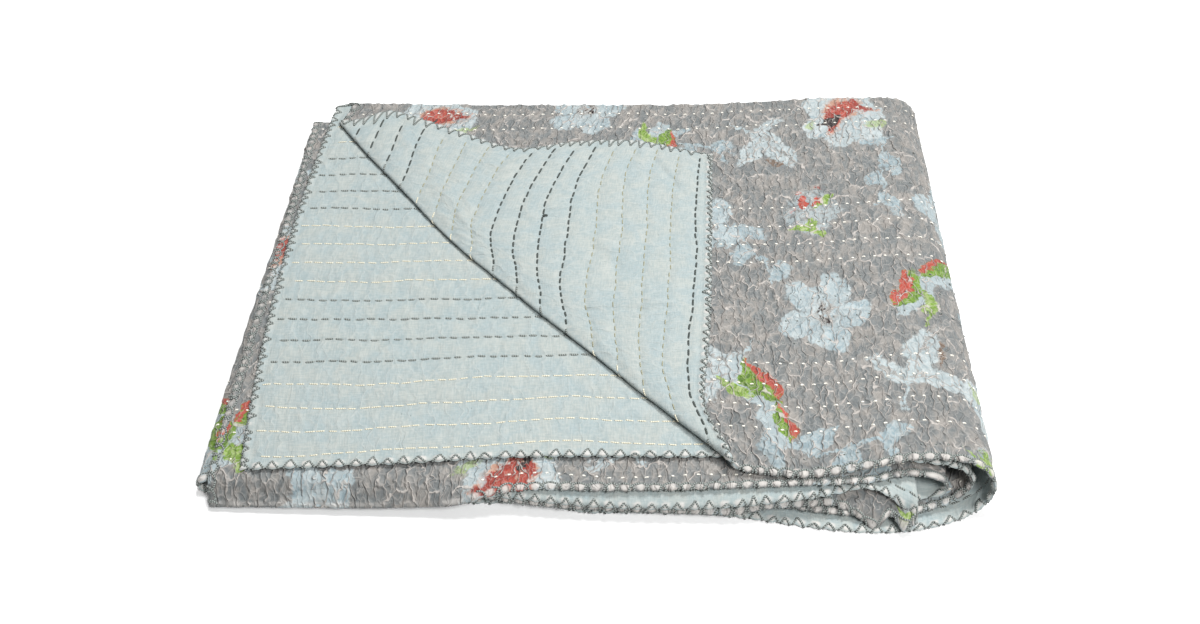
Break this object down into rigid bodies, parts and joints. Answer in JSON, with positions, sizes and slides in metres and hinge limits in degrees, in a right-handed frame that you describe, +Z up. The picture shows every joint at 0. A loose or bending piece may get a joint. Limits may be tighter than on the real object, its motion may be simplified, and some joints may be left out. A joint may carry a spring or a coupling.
{
  "type": "folded kantha quilt",
  "caption": "Kantha quilt of a printed and a plain cotton cloth, folded flat into a stack with one corner turned back.",
  "frame": {"origin": "on the surface the quilt lies on, below the middle of the folded stack", "axes": "+Z up, +X along the stack's long side towards its outer fold, +Y towards the back crease"},
  "size_m": [0.6402, 0.4505, 0.0472],
  "materials": {
    "printed_cotton": "matt crinkled cotton, grey with a printed floral",
    "plain_cotton": "matt washed cotton, pale duck-egg blue",
    "charcoal_thread": "matt cotton thread, charcoal",
    "cream_thread": "matt cotton thread, cream"
  },
  "bodies": {
    "root": {"printed_panel": "printed_cotton", "plain_panel": "plain_cotton"}
  },
  "joints": []
}
